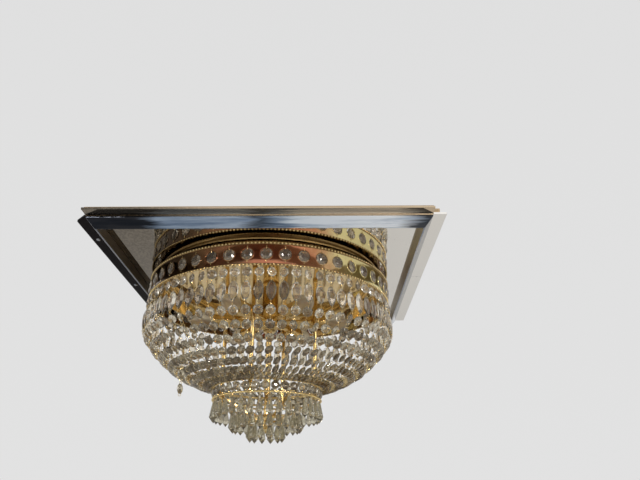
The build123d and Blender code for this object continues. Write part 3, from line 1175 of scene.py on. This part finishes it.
def finial():
    """Turned end that holds the spider on the tube."""
    top, bottom = drops_of("bottom_nut")
    height = bottom - top
    profile = [
        (0.3, -height),
        (1.6, -height + 0.4),
        (2.4, -height + 1.6),
        (2.0, -height + 2.8),
        (3.0, -height + 3.4),
        (5.4, -height + 4.8),
        (6.8, -height + 7.0),
        (6.4, -height + 8.6),
        (7.8, -1.6),
        (8.0, -0.6),
        (7.4, 0.0),
    ]
    made = Shape().add(*lathe(profile, sides=32), about_axis(top))
    made.make("finial", GILT, "brass", replaces=("bottom_nut",), smooth_angle=35)


rods()
centre_tube()
lamp_column()
finial()


# Lamps: each lies along its own level radius

RIBS = 5
RIB_START = 10.0
RIB_PITCH = 3.6

# share of the bulb's length, radius
BULB_PROFILE = (
    (0.0, 6.6),
    (0.05, 8.6),
    (0.12, 10.6),
    (0.22, 13.0),
    (0.34, 14.6),
    (0.46, 14.9),
    (0.58, 13.8),
    (0.70, 11.3),
    (0.80, 8.3),
    (0.88, 5.5),
    (0.94, 3.2),
    (0.98, 1.6),
    (1.0, 0.4),
)


def along_radius(points):
    """Matrix with local Z out along the radius that a solid lies on, and the solid's length."""
    middle = Vector((points.min(axis=0) + points.max(axis=0)) / 2)
    away = outward(middle)
    reach = (points - np.array(AXIS)) @ np.array(away)
    start = Vector((AXIS.x, AXIS.y, middle.z)) + away * reach.min()
    up = Vector((0, 0, 1))
    return basis(start, up.cross(away), up, away), (reach.max() - reach.min()) / MM


def arm_profile(length):
    """Arm with a flange at its start and a collar at its end."""
    return [
        (2.0, -0.2),
        (6.0, 0.0),
        (6.0, 2.0),
        (4.0, 3.2),
        (4.0, length - 3.0),
        (5.6, length - 2.2),
        (5.6, length),
        (1.0, length),
    ]


def holder_profile(length):
    """Cup with a rounded base, five ribs and a plain rim."""
    profile = [(3.0, 0.0), (8.0, 0.2), (11.0, 2.2), (12.0, 5.0), (12.0, 9.0)]
    for k in range(RIBS):
        start = RIB_START + RIB_PITCH * k
        profile += [(11.5, start), (11.5, start + 1.0), (12.1, start + 1.6), (12.1, start + 2.8)]
    profile += [(12.3, length - 4.0), (12.3, length - 1.0), (11.6, length), (9.5, length)]
    return profile


def collar_profile(length):
    """Thin ring between a holder and its bulb."""
    return [(6.0, length - 0.1), (9.3, length), (9.3, length + 0.28), (6.0, length + 0.3)]


def bulb_profile(length):
    """Candle bulb from its neck to its tip."""
    return [(radius, share * length) for share, radius in BULB_PROFILE]


# name, profile, sides, node, material, slot, whether it replaces the node, smooth angle
LAMP_PIECES = (
    ("arms", arm_profile, 20, "lamp_arms", BRASS, "brass", True, 35),
    ("holders", holder_profile, 32, "lamp_holders", BRASS, "brass", True, 35),
    ("holder_collars", collar_profile, 24, "lamp_holders", GILT, "brass", False, 35),
    ("candle_bulbs", bulb_profile, 32, "bulbs", OPAL, "bulb_glass", True, 70),
)


def lamp_pieces(name, profile, sides, node_name, material, slot, replacing, smooth_angle):
    """The same turned shape on each solid of a node, as one piece."""
    made = Shape()
    for points in islands(node_name):
        matrix, length = along_radius(points)
        made.add(*lathe(profile(length), sides), matrix)
    replaced = (node_name,) if replacing else ()
    made.make(name, material, slot, replaces=replaced, smooth_angle=smooth_angle)


for row in LAMP_PIECES:
    lamp_pieces(*row)


# Floor, light and camera

def stage():
    """Plain pale floor. From below it is clear, so that the part can be seen from there."""
    floor_mesh = bpy.data.meshes.new("floor")
    reach = FLOOR_REACH
    z = CAMERA_PLACE[2] - FLOOR_BELOW_CAMERA
    corners = [(-reach, -reach, z), (reach, -reach, z), (reach, reach, z), (-reach, reach, z)]
    floor_mesh.from_pydata(corners, [], [(0, 1, 2, 3)])
    floor = bpy.data.objects.new("floor", floor_mesh)
    bpy.context.scene.collection.objects.link(floor)
    material, tree, shader = new_material(
        "pale_floor", Base_Color=(0.70, 0.69, 0.67, 1), Roughness=0.7
    )
    side = node(tree, "ShaderNodeNewGeometry")
    clear = node(tree, "ShaderNodeBsdfTransparent")
    choose = node(tree, "ShaderNodeMixShader")
    tree.links.new(side.outputs["Backfacing"], choose.inputs["Fac"])
    tree.links.new(shader.outputs["BSDF"], choose.inputs[1])
    tree.links.new(clear.outputs["BSDF"], choose.inputs[2])
    tree.links.new(choose.outputs["Shader"], tree.nodes["Material Output"].inputs["Surface"])
    floor_mesh.materials.append(material)


def sky():
    """Soft studio: pale backdrop behind the panel, a wide soft box and grey walls before it."""
    world = bpy.data.worlds.new("surroundings")
    bpy.context.scene.world = world
    world.use_nodes = True
    tree = world.node_tree
    coords = node(tree, "ShaderNodeTexCoord")
    way = split(tree, coords.outputs["Generated"])
    height = spread(tree, way["Z"], 0.0, 1.0, -1.0, 1.0)
    across = spread(tree, way["X"], 0.0, 1.0, -1.0, 1.0)
    backdrop = ramp(tree, height, (0.50, 0.76), (0.88, 0.74), (0.95, 0.46))
    soft_box = ramp(
        tree,
        height,
        (0.48, 0.44),
        (0.55, 0.50),
        (0.60, 0.92),
        (0.76, 0.92),
        (0.83, 0.36),
        (1.0, 0.30),
    )
    walls = ramp(
        tree,
        across,
        (0.0, 1.0),
        (0.20, 0.55),
        (0.30, 0.55),
        (0.40, 1.0),
        (0.60, 1.0),
        (0.70, 0.55),
        (0.80, 0.55),
        (1.0, 1.0),
    )
    front = blend(tree, 1.0, soft_box, walls, "MULTIPLY")
    before = spread(tree, way["Y"], 1.0, 0.0, -0.35, 0.05)
    background = tree.nodes["Background"]
    tree.links.new(blend(tree, before, backdrop, front), background.inputs["Color"])
    background.inputs["Strength"].default_value = 1.0


# name, place, target, size, watts, colour
LIGHTS = (
    ("key", (1.7, -1.7, 0.25), (0, 0, -0.15), (0.9, 0.7), 13, (1.0, 0.98, 0.95)),
    ("spark_left", (-0.7, -1.5, 0.15), (0, 0, -0.15), (0.14, 0.14), 3, (1.0, 0.97, 0.92)),
    ("spark_right", (0.6, -1.4, 0.0), (0, 0, -0.15), (0.14, 0.14), 3, (1.0, 0.97, 0.92)),
    ("top", (0.2, 0.7, 1.5), (0.2, 0.7, 0), (2.0, 2.0), 9, (1.0, 1.0, 1.0)),
    ("fill", (-1.9, -1.2, 0.2), (0, 0, -0.1), (0.9, 0.7), 6, (0.97, 0.98, 1.0)),
)


def area_light(name, place, target, size, watts, colour):
    """Rectangular light that shines from a place towards a target."""
    light = bpy.data.lights.new(name, "AREA")
    light.shape = "RECTANGLE"
    light.size, light.size_y = size
    light.energy = watts
    light.color = colour
    made = bpy.data.objects.new(name, light)
    made.location = place
    made.rotation_euler = (Vector(target) - Vector(place)).to_track_quat("-Z", "Y").to_euler()
    bpy.context.scene.collection.objects.link(made)


def camera():
    """The photograph's camera."""
    data = bpy.data.cameras.new("camera")
    data.sensor_width = SENSOR
    data.lens = SENSOR * FOCAL_PIXELS / PHOTO_WIDTH
    data.clip_start, data.clip_end = 0.01, 100
    made = bpy.data.objects.new("camera", data)
    yaw, pitch, roll = (math.radians(a) for a in (CAMERA_YAW, CAMERA_PITCH, CAMERA_ROLL))
    ahead = Vector(
        (math.sin(yaw) * math.cos(pitch), math.cos(yaw) * math.cos(pitch), math.sin(pitch))
    )
    right = Vector((math.cos(yaw), -math.sin(yaw), 0))
    up = right.cross(ahead)
    right, up = (
        right * math.cos(roll) + up * math.sin(roll),
        up * math.cos(roll) - right * math.sin(roll),
    )
    turn = Matrix([[right[i], up[i], -ahead[i]] for i in range(3)])
    made.matrix_world = Matrix.Translation(CAMERA_PLACE) @ turn.to_4x4()
    bpy.context.scene.collection.objects.link(made)
    bpy.context.scene.camera = made


stage()
sky()
for row in LIGHTS:
    area_light(*row)
camera()
bpy.context.scene.view_settings.view_transform = "Standard"
